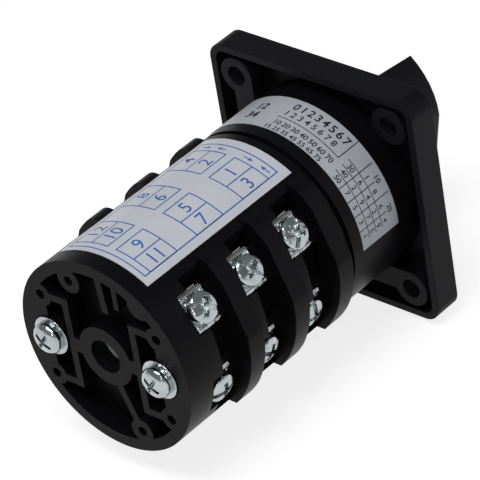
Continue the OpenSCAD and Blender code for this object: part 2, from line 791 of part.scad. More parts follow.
module bolt_washers() {
    color("#b8babd") for (s = [-1, 1]) translate([s * bolt_x, 0, 0]) difference() {
        rod(bolt_washer_d / 2, bolt_face_y - bolt_washer_t, bolt_washer_t);
        rod(bolt_hole_r, bolt_face_y - bolt_washer_t - over, bolt_washer_t + 2 * over);
    }
}

module bolt_nuts() {
    color("#b8babd") for (s = [-1, 1]) translate([s * bolt_x, plate_floor_y, 0]) rotate([-90, 0, 0])
        difference() {
            cylinder(r = nut_r, h = nut_h, $fn = 6);
            translate([0, 0, -over]) cylinder(r = bolt_r + room / 2, h = nut_h + 2 * over);
        }
}

// Rotor: square shaft with a turned rear journal
module shaft() {
    color("#b4b7ba") difference() {
        union() {
            along(shaft_front_y, journal_y - shaft_front_y) square(shaft_side, center = true);
            rod(journal_r, journal_y, journal_len);
        }
        rod(handle_screw_r + room / 2, shaft_front_y - over, shaft_tap + over);
    }
}

// A cam whose radius changes at a steady rate over each throw, low towards +X and high towards -X
step_a = 4;
function cam_radius(b) =
    abs(b) <= throw_a ? cam_r - cam_rise * b / throw_a :
    abs(b) >= 180 - throw_a ? cam_r - cam_rise * sign(b) * (180 - abs(b)) / throw_a :
    cam_r - cam_rise * sign(b);
module cam(k) {
    length = k < decks ? deck_pitch : chamber_depth(k);
    color("#d9d2bd") translate([0, deck_y(k), 0]) difference() {
        union() {
            rod(hub_r, hub_gap, length - 2 * hub_gap);
            along(cam_y, cam_t) polygon([for (b = [-180 : step_a : 180 - step_a])
                cam_radius(b) * [sin(b), cos(b)]]);
        }
        along(-over, length + 2 * over) square(shaft_hole, center = true);
    }
}

module index_wheel() {
    hub_end_y = barrier_rear_y - hub_gap;
    notch_r = roller_r + room / 2;
    color("#d9d2bd") difference() {
        union() {
            rod(hub_r, plate_front_y + room, hub_end_y - plate_front_y - room);
            rod(stop_hub_r, index_y, stop_y - index_y);
            rod(index_r, index_y, index_t);
        }
        for (i = [0 : index_notches - 1]) at_angle(i * throw_a)
            translate([0, 0, roller_rest_z - roller_drop]) rod(notch_r, index_y - over, index_t + 2 * over);
        along(plate_front_y - over, hub_end_y - plate_front_y + 2 * over) square(shaft_hole, center = true);
    }
}

module stop_washer() {
    color("#a9acaf") difference() {
        along(stop_y, stop_t) {
            circle(stop_ring_r);
            intersection() {
                circle(stop_lug_r);
                polygon(stop_lug_r * 2 * [[0, 0], [-sin(stop_lug_half_a), cos(stop_lug_half_a)],
                    [sin(stop_lug_half_a), cos(stop_lug_half_a)]]);
            }
        }
        rod(hub_r + room / 5, stop_y - over, stop_t + 2 * over);
    }
}

// Handle: a round skirt and a pointed grip that narrows to the front
grip_arc_step = 6;
module grip_2d() {
    arc_r = (pow(grip_tip, 2) + pow(grip_half, 2)) / (2 * grip_half);
    arc_a = asin(grip_tip / arc_r);
    tail_z = -grip_tail + grip_tail_r;
    side = concat([for (i = [0 : grip_arc_step]) let (a = arc_a * (1 - i / grip_arc_step))
            [arc_r * cos(a) - arc_r + grip_half, arc_r * sin(a)]],
        [for (i = [1 : grip_arc_step]) let (a = -90 * i / grip_arc_step)
            [grip_tail_r * cos(a), tail_z + grip_tail_r * sin(a)]]);
    polygon(concat(side, [for (i = [len(side) - 2 : -1 : 1]) [-side[i][0], side[i][1]]]));
}

module handle() {
    foot_y = skirt_y - skirt_h;
    insert_half = insert_len / 2;
    color("#1c1c1f") difference() {
        union() {
            rod(skirt_r, foot_y, skirt_h);
            translate([0, foot_y, 0]) rotate([90, 0, 0])
                linear_extrude(grip_h, scale = grip_taper_share) scale(1 / grip_taper_share) grip_2d();
        }
        along(shaft_front_y - room, over - plate_front_y - shaft_front_y) square(shaft_hole, center = true);
        rod(handle_screw_r + room, -handle_front - over, handle_front);
        rod(handle_screw_head_r + room, -handle_front - over, handle_screw_y + handle_front + over);
        along(-handle_front - over, insert_t + over)
            translate([-insert_w / 2 - room, insert_z - insert_half - room])
                square([insert_w + 2 * room, insert_len + 2 * room]);
    }
}

module handle_screw() {
    head_y = handle_screw_y - handle_screw_head_h;
    slot_len = 2 * handle_screw_head_r * handle_slot_share;
    color("#c4c6c9") difference() {
        union() {
            rod(handle_screw_head_r, head_y, handle_screw_head_h);
            rod(handle_screw_r, head_y, handle_screw_head_h + handle_web + shaft_tap - over);
        }
        along(head_y - over, handle_slot_depth + over) {
            square([slot_len, handle_slot_w], center = true);
            square([handle_slot_w, slot_len], center = true);
        }
    }
}

module handle_insert() {
    color("#e8e8e6") along(-handle_front, insert_t) translate([-insert_w / 2, insert_z - insert_len / 2])
        square([insert_w, insert_len]);
}

// Moving contacts of the upper side of deck k, drawn at the middle of their travel
module plunger(k) {
    color("#d8d4c8") translate([0, deck_y(k) + term_y - plunger_t / 2, 0]) {
        translate([0, 0, foot_z]) rod(foot_r, 0, plunger_t);
        along(0, plunger_t) polygon([[-foot_r, foot_z], [foot_r, foot_z], [plunger_w / 2, waist_z],
            [plunger_w / 2, bridge_z], [-plunger_w / 2, bridge_z], [-plunger_w / 2, waist_z]]);
        translate([0, plunger_t / 2, bridge_z - over]) cylinder(r = post_r, h = post_top_z - bridge_z + over);
    }
}

module bridge(k) {
    color("#c98a5a") translate([0, deck_y(k) + term_y, 0]) {
        difference() {
            translate([-bridge_reach, -bridge_w / 2, bridge_z]) cube([2 * bridge_reach, bridge_w, bridge_t]);
            translate([0, 0, bridge_z - over]) cylinder(r = post_r + room, h = bridge_t + 2 * over);
        }
        for (s = [-1, 1]) translate([s * tip_x, 0, bridge_z - tip_h])
            cylinder(r = tip_r, h = tip_h + bridge_t / 2);
    }
}

module contact_springs() {
    color("#a9acaf") for (k = [1 : decks]) translate([0, deck_y(k) + term_y, bridge_top_z])
        coil(spring_r, spring_wire_r, contact_spring_h, spring_turns);
}

// Index gear above the axis: slider, roller and spring
module index_slider() {
    color("#d8d4c8") difference() {
        translate([-slider_half, slider_y, slider_z])
            cube([2 * slider_half, slider_len, slider_top_z - slider_z]);
        translate([0, 0, roller_rest_z]) rod(roller_r + room / 5, slider_y - over, slider_len + 2 * over);
        translate([-roller_r - slider_nose, slider_y - over, slider_z - over])
            cube([2 * (roller_r + slider_nose), slider_len + 2 * over, over + slider_nose]);
    }
}

module index_roller() {
    color("#b4b7ba") translate([0, 0, roller_rest_z]) rod(roller_r, slider_y, slider_len);
}

module index_spring() {
    color("#a9acaf") translate([0, slider_y + slider_len / 2, slider_top_z])
        coil(index_spring_r, index_wire_r, index_spring_top_z - slider_top_z, index_turns);
}

front_plate();
dial_plate();
plate_screws();
index_housing();
rating_label();
front_barrier();
contact_deck(1);  // contact_deck_1
contact_deck(2);  // contact_deck_2
contact_deck(3);  // contact_deck_3
fixed_contacts(1);  // fixed_contacts_1
fixed_contacts(2);  // fixed_contacts_2
fixed_contacts(3);  // fixed_contacts_3
clamp_plates(1);  // clamp_plates_1
clamp_plates(2);  // clamp_plates_2
clamp_plates(3);  // clamp_plates_3
terminal_screws(1);  // terminal_screws_1
terminal_screws(2);  // terminal_screws_2
terminal_screws(3);  // terminal_screws_3
lock_washers();
wiring_label();
through_bolts();
bolt_washers();
bolt_nuts();
shaft();
cam(1);  // cam_1
cam(2);  // cam_2
cam(3);  // cam_3
index_wheel();
stop_washer();
handle();
handle_screw();
handle_insert();
plunger(1);  // upper_plunger_1
plunger(2);  // upper_plunger_2
plunger(3);  // upper_plunger_3
at_angle(180) plunger(1);  // lower_plunger_1
at_angle(180) plunger(2);  // lower_plunger_2
at_angle(180) plunger(3);  // lower_plunger_3
bridge(1);  // upper_bridge_1
bridge(2);  // upper_bridge_2
bridge(3);  // upper_bridge_3
at_angle(180) bridge(1);  // lower_bridge_1
at_angle(180) bridge(2);  // lower_bridge_2
at_angle(180) bridge(3);  // lower_bridge_3
contact_springs();  // upper_contact_springs
at_angle(180) contact_springs();  // lower_contact_springs
index_slider();  // upper_index_slider
at_angle(180) index_slider();  // lower_index_slider
index_roller();  // upper_index_roller
at_angle(180) index_roller();  // lower_index_roller
index_spring();  // upper_index_spring
at_angle(180) index_spring();  // lower_index_spring
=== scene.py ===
"""Rotary changeover switch, seen from its rear left side: looks on top of the CAD frame, in metres."""
import json
import math

import bmesh
import bpy
from mathutils import Matrix, Vector


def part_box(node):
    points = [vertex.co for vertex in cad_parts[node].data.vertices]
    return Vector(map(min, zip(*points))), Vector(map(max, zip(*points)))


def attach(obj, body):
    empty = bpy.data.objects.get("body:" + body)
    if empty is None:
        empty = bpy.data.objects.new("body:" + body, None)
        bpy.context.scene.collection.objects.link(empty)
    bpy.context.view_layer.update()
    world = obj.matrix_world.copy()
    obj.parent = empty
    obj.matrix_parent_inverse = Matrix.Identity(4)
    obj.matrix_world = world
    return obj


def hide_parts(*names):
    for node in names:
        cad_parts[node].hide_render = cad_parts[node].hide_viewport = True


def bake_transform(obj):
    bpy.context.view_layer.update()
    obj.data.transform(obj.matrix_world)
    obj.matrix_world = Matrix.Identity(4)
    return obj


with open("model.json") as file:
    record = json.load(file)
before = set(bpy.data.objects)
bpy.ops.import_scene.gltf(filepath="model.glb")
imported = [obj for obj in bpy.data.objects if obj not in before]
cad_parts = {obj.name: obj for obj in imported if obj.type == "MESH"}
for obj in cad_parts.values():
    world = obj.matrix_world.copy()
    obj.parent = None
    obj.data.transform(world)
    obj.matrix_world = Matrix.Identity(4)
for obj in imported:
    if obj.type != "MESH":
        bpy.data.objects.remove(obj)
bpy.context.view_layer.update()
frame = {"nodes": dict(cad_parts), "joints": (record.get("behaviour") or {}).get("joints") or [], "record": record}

MM = 0.001
X, Y, Z = 0, 1, 2
LOW, HIGH = 0, 1
DECKS = (1, 2, 3)


# Sizes and places that the frame gives

def edge(node, side, axis):
    """Where a node's box at rest begins (LOW) or ends (HIGH) along an axis, rounded to 0.001 mm."""
    return round(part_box(node)[side][axis], 6)


def middle(node, axis):
    """Middle of a node's box at rest along an axis."""
    return (edge(node, LOW, axis) + edge(node, HIGH, axis)) / 2


def terminal_angles():
    """Angles of a deck's terminals, in degrees from the top towards -X, as the record's mounts point."""
    axes = [mount["axis"] for mount in frame["record"]["mounts"] if mount["name"].startswith("terminal_")]
    return sorted({round(math.degrees(math.atan2(-x, z))) % 360 for x, y, z in axes})


def handle_limits():
    """The handle's two end positions in degrees."""
    return next(joint["range_deg"] for joint in frame["joints"] if joint["name"] == "handle_turn")


BODY_OF = {node: body for body, nodes in frame["record"]["behaviour"]["bodies"].items() for node in nodes}
BODY_R = edge("index_housing", HIGH, X)
DIAL_Y = edge("dial_plate", LOW, Y)
DECK_Y = {k: edge("contact_deck_%d" % k, LOW, Y) for k in DECKS}
TERMINAL_Y = {k: middle("clamp_plates_%d" % k, Y) for k in DECKS}
TERMINAL_ANGLES = terminal_angles()


# Sizes of the dressing

# Radius and height of the screw heads, and how far a head arches as a share of its radius
TERMINAL_HEAD_R = 3.9 * MM
TERMINAL_HEAD_H = 2.5 * MM
BOLT_HEAD_R = 4.1 * MM
BOLT_HEAD_H = 3.2 * MM
BOLT_X = edge("through_bolts", HIGH, X) - BOLT_HEAD_R
HEAD_ARCH = 0.28
# Cuts to either side of a head's middle, how far past the rim they reach, and what stays flat at the foot
HEAD_CUTS = 5
HEAD_REACH = 1.02
HEAD_FOOT = 0.05 * MM

# A copy of a node merges points closer than this and faces flatter than this, in degrees
SAME_POINT = 0.002 * MM
SAME_FACE = 0.6
# Edges sharper than these angles in degrees are rounded, and shaded as edges
ROUNDED_FROM = 30
SHARP_FROM = 40
# Widths of the rounding on mouldings and on metal
PLATE_EDGE = 0.35 * MM
DRUM_EDGE = 0.25 * MM
DECK_EDGE = 0.22 * MM
HANDLE_EDGE = 0.5 * MM
INSERT_EDGE = 0.1 * MM
PRESSED_EDGE = 0.12 * MM
BOLT_EDGE = 0.08 * MM
SCREW_EDGE = 0.1 * MM
# Steps of the rounding on the large mouldings that stand in front
FINE_STEPS = 3

# Half of the room along the shaft that one spring takes
SPRING_REACH = 8 * MM

# Labels with their glue, and the layer of ink on them and on the dial
LABEL_R = BODY_R + 0.165 * MM
INK_R = LABEL_R + 0.015 * MM
DIAL_INK = 0.02 * MM
# Height of a digit as a share of the type's size, and how much its strokes are thickened
DIGIT_SHARE = 0.7
DIGIT_WEIGHT = 0.01
# Lengths that digits and lines are cut to, so that they can follow the drum
DIGIT_STEP = 0.4 * MM
LINE_STEP = 0.7 * MM
# Pieces that a curve of a digit is drawn with, and half an arrow point's width as a share of its length
CURVE_STEPS = 4
ARROW_SHARE = 0.45


# Materials

# Sizes of the patterns: clouds of gloss, the grain and shallow dents of pressed steel
PLASTIC_CLOUD = 9 * MM
STEEL_CLOUD = 2.5 * MM
STEEL_GRAIN = 0.25 * MM
STEEL_DENTS = 1.7 * MM
FILM_CLOUD = 12 * MM
INK_CLOUD = 0.6 * MM
# Height of the grain of metal and of brushed lines
GRAIN_HEIGHT = 0.01 * MM
# Scale of the noise along the brushing, which draws it out into lines
BRUSH_STRETCH = 0.03
# Sockets of a Mix node that is set to colours
COLOUR_A, COLOUR_B, COLOUR_OUT = 6, 7, 2


def srgb(text):
    """Linear RGBA of an sRGB hex colour."""
    values = [int(text[i:i + 2], 16) / 255 for i in (1, 3, 5)]
    return tuple(v / 12.92 if v <= 0.04045 else ((v + 0.055) / 1.055) ** 2.4 for v in values) + (1.0,)


def add(tree, kind, links=None, **settings):
    """Adds a node with its settings, and links its inputs, by name or number, to other nodes' outputs."""
    made = tree.nodes.new(kind)
    for name, value in settings.items():
        if name in made.inputs.keys():
            made.inputs[name].default_value = value
        elif hasattr(made, name):
            setattr(made, name, value)
        else:
            made.inputs[name.replace("_", " ")].default_value = value
    for name, output in (links or {}).items():
        tree.links.new(output, made.inputs[name])
    return made


def new_material(name):
    """An empty node material and its node tree."""
    made = bpy.data.materials.new(name)
    made.use_nodes = True
    made.node_tree.nodes.clear()
    return made, made.node_tree


def moulded_plastic(name, colour, lighter, rough, grain_mm, height_mm, gloss=0.5):
    """Moulded plastic: clouds of gloss over a grain that is drawn coarser than the real 0.05 mm, to show."""
    made, tree = new_material(name)
    place = add(tree, "ShaderNodeTexCoord").outputs["Object"]
    cloud = add(tree, "ShaderNodeTexNoise", {"Vector": place}, Scale=1 / PLASTIC_CLOUD, Detail=3.0)
    grain = add(tree, "ShaderNodeTexNoise", {"Vector": place}, Scale=1 / (grain_mm * MM), Detail=2.0)
    tone = add(tree, "ShaderNodeMix", {"Factor": cloud.outputs[0]}, data_type="RGBA")
    tone.inputs[COLOUR_A].default_value = srgb(colour)
    tone.inputs[COLOUR_B].default_value = srgb(lighter)
    matt = add(tree, "ShaderNodeMapRange", {"Value": cloud.outputs[0]}, To_Min=rough[0], To_Max=rough[1])
    bump = add(tree, "ShaderNodeBump", {"Height": grain.outputs[0]}, Strength=0.6, Distance=height_mm * MM)
    shader = add(tree, "ShaderNodeBsdfPrincipled",
                 {"Base Color": tone.outputs[COLOUR_OUT], "Normal": bump.outputs[0],
                  "Roughness": matt.outputs[0]}, IOR=1.5, Specular_IOR_Level=gloss)
    add(tree, "ShaderNodeOutputMaterial", {"Surface": shader.outputs[0]})
    return made


def plated_steel(name, colour, darker, rough, dent_mm=0.02):
    """Plated or drawn metal: cloudy passivation, a fine grain, and the shallow dents of pressed metal."""
    made, tree = new_material(name)
    place = add(tree, "ShaderNodeTexCoord").outputs["Object"]
    cloud = add(tree, "ShaderNodeTexNoise", {"Vector": place}, Scale=1 / STEEL_CLOUD, Detail=4.0)
    fine = add(tree, "ShaderNodeTexNoise", {"Vector": place}, Scale=1 / STEEL_GRAIN, Detail=2.0)
    dents = add(tree, "ShaderNodeTexNoise", {"Vector": place}, Scale=1 / STEEL_DENTS, Detail=1.0)
    tone = add(tree, "ShaderNodeMix", {"Factor": cloud.outputs[0]}, data_type="RGBA")
    tone.inputs[COLOUR_A].default_value = srgb(darker)
    tone.inputs[COLOUR_B].default_value = srgb(colour)
    matt = add(tree, "ShaderNodeMapRange", {"Value": cloud.outputs[0]}, To_Min=rough[0], To_Max=rough[1])
    grain = add(tree, "ShaderNodeBump", {"Height": fine.outputs[0]}, Strength=0.25, Distance=GRAIN_HEIGHT)
    bump = add(tree, "ShaderNodeBump", {"Height": dents.outputs[0], "Normal": grain.outputs[0]},
               Strength=1.0, Distance=dent_mm * MM)
    shader = add(tree, "ShaderNodeBsdfPrincipled",
                 {"Base Color": tone.outputs[COLOUR_OUT], "Normal": bump.outputs[0],
                  "Roughness": matt.outputs[0]}, Metallic=1.0)
    add(tree, "ShaderNodeOutputMaterial", {"Surface": shader.outputs[0]})
    return made


def brushed_sheet(name, colour, metallic, rough, line_mm, along):
    """Sheet with fine brushed lines along one axis."""
    made, tree = new_material(name)
    place = add(tree, "ShaderNodeTexCoord").outputs["Object"]
    stretch = add(tree, "ShaderNodeMapping", {"Vector": place},
                  Scale=[BRUSH_STRETCH if axis == along else 1.0 for axis in (X, Y, Z)])
    lines = add(tree, "ShaderNodeTexNoise", {"Vector": stretch.outputs[0]}, Scale=1 / (line_mm * MM),
                Detail=3.0)
    matt = add(tree, "ShaderNodeMapRange", {"Value": lines.outputs[0]}, To_Min=rough[0], To_Max=rough[1])
    bump = add(tree, "ShaderNodeBump", {"Height": lines.outputs[0]}, Strength=0.2, Distance=GRAIN_HEIGHT)
    shader = add(tree, "ShaderNodeBsdfPrincipled",
                 {"Normal": bump.outputs[0], "Roughness": matt.outputs[0]},
                 Metallic=metallic, Base_Color=srgb(colour))
    add(tree, "ShaderNodeOutputMaterial", {"Surface": shader.outputs[0]})
    return made


def coated_film(name, colour, shade):
    """Printed polyester film: pale, faintly uneven, with a satin varnish."""
    made, tree = new_material(name)
    place = add(tree, "ShaderNodeTexCoord").outputs["Object"]
    cloud = add(tree, "ShaderNodeTexNoise", {"Vector": place}, Scale=1 / FILM_CLOUD, Detail=2.0)
    tone = add(tree, "ShaderNodeMix", {"Factor": cloud.outputs[0]}, data_type="RGBA")
    tone.inputs[COLOUR_A].default_value = srgb(colour)
    tone.inputs[COLOUR_B].default_value = srgb(shade)
    shader = add(tree, "ShaderNodeBsdfPrincipled", {"Base Color": tone.outputs[COLOUR_OUT]},
                 Roughness=0.42, IOR=1.5, Coat_Weight=0.3, Coat_Roughness=0.25)
    add(tree, "ShaderNodeOutputMaterial", {"Surface": shader.outputs[0]})
    return made


def printing_ink(name, colour):
    """Screen-printed ink, nearly matt, with slightly uneven cover."""
    made, tree = new_material(name)
    place = add(tree, "ShaderNodeTexCoord").outputs["Object"]
    cloud = add(tree, "ShaderNodeTexNoise", {"Vector": place}, Scale=1 / INK_CLOUD, Detail=2.0)
    matt = add(tree, "ShaderNodeMapRange", {"Value": cloud.outputs[0]}, To_Min=0.45, To_Max=0.6)
    shader = add(tree, "ShaderNodeBsdfPrincipled", {"Roughness": matt.outputs[0]},
                 IOR=1.5, Base_Color=srgb(colour))
    add(tree, "ShaderNodeOutputMaterial", {"Surface": shader.outputs[0]})
    return made


# Black thermoset of the decks and the housing: deep black, satin, with a low sheen
BODY = moulded_plastic("black_thermoset_satin", "#0b0b0d", "#111114", rough=(0.30, 0.42),
                       grain_mm=0.35, height_mm=0.012, gloss=0.07)
# Black ABS of the plate and black nylon of the handle: a softer, greyer sheen
PLATE = moulded_plastic("black_abs_soft_satin", "#0e0e11", "#151519", rough=(0.42, 0.53),
                        grain_mm=0.30, height_mm=0.015, gloss=0.09)
HANDLE = moulded_plastic("black_nylon_satin", "#0c0c0f", "#131316", rough=(0.42, 0.53),
                         grain_mm=0.30, height_mm=0.015, gloss=0.09)
# White glossy plastic of the handle's pointer
WHITE = moulded_plastic("white_plastic_gloss", "#e6e6e4", "#dededb", rough=(0.25, 0.32),
                        grain_mm=0.5, height_mm=0.003)
# Natural acetal of cams, plungers and sliders: ivory, slippery satin
ACETAL = moulded_plastic("natural_acetal_satin", "#d9d2bd", "#d2cab2", rough=(0.35, 0.45),
                         grain_mm=0.5, height_mm=0.005)
# Bright zinc plate on pressed steel: cool mirror lights, broken up by shallow dents
ZINC = plated_steel("zinc_plated_steel_bright", "#cdd2d3", "#939c9c", rough=(0.12, 0.25), dent_mm=0.3)
# Turned steel of rollers and the stop washer: bright and even
DRAWN = plated_steel("turned_steel_bright", "#c9ccce", "#a9adb0", rough=(0.30, 0.45))
# Die-cast zinc of the shaft: pale, rough and grainy
CAST = plated_steel("cast_zinc_grainy", "#dfe2e3", "#c2c6c8", rough=(0.62, 0.85), dent_mm=0.5)
# Drawn wire of the springs: darker, with a polished glint
SPRING = plated_steel("spring_wire_steel", "#a9acb0", "#8e9196", rough=(0.22, 0.34))
# Tinned brass strip: pale yellow under the tin
TINNED = plated_steel("tinned_brass_strip", "#c9c1a6", "#b3a988", rough=(0.26, 0.40))
# Bare copper of the moving contacts
COPPER = plated_steel("contact_copper", "#cc8f62", "#b4774c", rough=(0.25, 0.40))
# Anodised aluminium, brushed from side to side: soft light across the lines
DIAL = brushed_sheet("anodised_aluminium_brushed", "#cfd1d2", metallic=1.0, rough=(0.28, 0.42),
                     line_mm=0.08, along=X)
# Silver-printed foil: grey satin with little mirror in it
FOIL = brushed_sheet("silver_foil_satin", "#bcc0c4", metallic=0.1, rough=(0.42, 0.5), line_mm=0.25, along=Y)
# Pale polyester film of the wiring label, under a satin varnish
FILM = coated_film("pale_label_film", "#d2d4da", "#c8cad2")
# Inks of the wiring label, the rating label and the dial: matt, with crisp edges
BLUE_INK = printing_ink("blue_screen_ink", "#2868b4")
DARK_INK = printing_ink("dark_grey_screen_ink", "#1d1f24")
BLACK_INK = printing_ink("black_screen_ink", "#17171a")


# Dressing of the CAD nodes

def paint(obj, material):
    """Gives an object one material."""
    obj.data.materials.clear()
    obj.data.materials.append(material)


def add_object(name, data):
    """Puts new data into the scene as an object."""
    obj = bpy.data.objects.new(name, data)
    bpy.context.scene.collection.objects.link(obj)
    return obj


def arch_head(shape, foot, axis, radius, depth):
    """Arches the flat top of a screw head about its axis, so that it falls away towards the rim."""
    def place(v):
        run = v.co - foot
        height = run.dot(axis)
        return height, (run - height * axis).length

    top = max(place(v)[0] for v in shape.verts if place(v)[1] < radius)

    def in_head(v):
        height, away = place(v)
        return height > top - depth + HEAD_FOOT and away < HEAD_REACH * radius

    side = axis.orthogonal().normalized()
    geom = [f for f in shape.faces if all(in_head(v) for v in f.verts)]
    geom += list({e for f in geom for e in f.edges}) + list({v for f in geom for v in f.verts})
    for way in (side, axis.cross(side)):
        for i in range(-HEAD_CUTS, HEAD_CUTS + 1):
            cut = bmesh.ops.bisect_plane(shape, geom=geom, plane_no=way,
                                         plane_co=foot + way * radius * i / (HEAD_CUTS + 0.5))
            geom = list(set(cut["geom"]))
    for v in shape.verts:
        if in_head(v):
            height, away = place(v)
            v.co -= axis * HEAD_ARCH * away ** 2 / radius * (1 + (height - top) / depth)


def soften(node, material, width, steps=2, heads=()):
    """Shows a CAD node as a copy whose flat faces are merged and whose moulded edges are rounded."""
    mesh = bpy.data.meshes.new(node + "_softened")
    shape = bmesh.new()
    shape.from_mesh(frame["nodes"][node].data)
    bmesh.ops.remove_doubles(shape, verts=shape.verts, dist=SAME_POINT)
    bmesh.ops.dissolve_limit(shape, angle_limit=math.radians(SAME_FACE), verts=shape.verts, edges=shape.edges)
    for head in heads:
        arch_head(shape, *head)
    shape.to_mesh(mesh)
    shape.free()
    obj = add_object(node + "_softened", mesh)
    paint(obj, material)
    mesh.polygons.foreach_set("use_smooth", [True] * len(mesh.polygons))
    mesh.set_sharp_from_angle(angle=math.radians(SHARP_FROM))
    bevel = obj.modifiers.new("rounded_edges", "BEVEL")
    bevel.width = width
    bevel.segments = steps
    bevel.limit_method = "ANGLE"
    bevel.angle_limit = math.radians(ROUNDED_FROM)
    bevel.harden_normals = False
    bevel.miter_outer = "MITER_ARC"
    weighted = obj.modifiers.new("weighted_normals", "WEIGHTED_NORMAL")
    weighted.keep_sharp = True
    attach(obj, BODY_OF[node])
    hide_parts(node)


def spring(node, name, y):
    """Shows one spring of a node as a copy, cut down to the part within reach of a place along the shaft."""
    mesh = frame["nodes"][node].data.copy()
    shape = bmesh.new()
    shape.from_mesh(mesh)
    others = [v for v in shape.verts if abs(v.co.y - y) > SPRING_REACH]
    bmesh.ops.delete(shape, geom=others, context="VERTS")
    shape.to_mesh(mesh)
    shape.free()
    obj = add_object(name, mesh)
    paint(obj, SPRING)
    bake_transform(obj)
    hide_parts(node)


def bolt_heads():
    """Foot, axis, radius and height of the two heads on the rear face."""
    return [(Vector((x, 0, 0)), Vector((0, 1, 0)), BOLT_HEAD_R, BOLT_HEAD_H) for x in (-BOLT_X, BOLT_X)]


def terminal_heads(k):
    """Foot, axis, radius and height of the four screw heads of a deck."""
    heads = []
    for degrees in TERMINAL_ANGLES:
        a = math.radians(degrees)
        axis = Vector((-math.sin(a), 0, math.cos(a)))
        heads.append((Vector((0, TERMINAL_Y[k], 0)), axis, TERMINAL_HEAD_R, TERMINAL_HEAD_H))
    return heads


PAINTED = {
    "plate_screws": ZINC, "lock_washers": ZINC, "bolt_nuts": ZINC, "shaft": CAST, "index_wheel": ACETAL,
    "stop_washer": DRAWN, "handle_screw": ZINC, "upper_index_slider": ACETAL, "lower_index_slider": ACETAL,
    "upper_index_roller": DRAWN, "lower_index_roller": DRAWN, "rating_label": FOIL, "wiring_label": FILM,
    "dial_plate": DIAL,
}
for k in DECKS:
    PAINTED["fixed_contacts_%d" % k] = TINNED
    PAINTED["cam_%d" % k] = ACETAL
    for side in ("upper", "lower"):
        PAINTED["%s_plunger_%d" % (side, k)] = ACETAL
        PAINTED["%s_bridge_%d" % (side, k)] = COPPER
for node, material in PAINTED.items():
    paint(frame["nodes"][node], material)

for side in ("upper", "lower"):
    index_spring = side + "_index_spring"
    spring(index_spring, side + "_index_coil", middle(index_spring, Y))
    for k in DECKS:
        spring(side + "_contact_springs", "%s_contact_coil_%d" % (side, k),
               TERMINAL_Y[k])

soften("front_plate", PLATE, PLATE_EDGE, FINE_STEPS)
soften("index_housing", BODY, DRUM_EDGE)
soften("front_barrier", BODY, DRUM_EDGE)
soften("handle", HANDLE, HANDLE_EDGE, FINE_STEPS)
soften("handle_insert", WHITE, INSERT_EDGE)
soften("through_bolts", ZINC, BOLT_EDGE, heads=bolt_heads())
soften("bolt_washers", ZINC, PRESSED_EDGE)
for k in DECKS:
    soften("contact_deck_%d" % k, BODY, DECK_EDGE)
    soften("clamp_plates_%d" % k, ZINC, PRESSED_EDGE)
    soften("terminal_screws_%d" % k, ZINC, SCREW_EDGE, heads=terminal_heads(k))


# Prints

def on_drum(points):
    """Flat label points (arc length from the top towards -X, place along the shaft), laid on the drum."""
    return [(-INK_R * math.sin(s / INK_R), y, INK_R * math.cos(s / INK_R)) for s, y in points]


def on_dial(points):
    """Flat dial points (to the right, up), laid on the dial's front."""
    return [(x, DIAL_Y - DIAL_INK, z) for x, z in points]


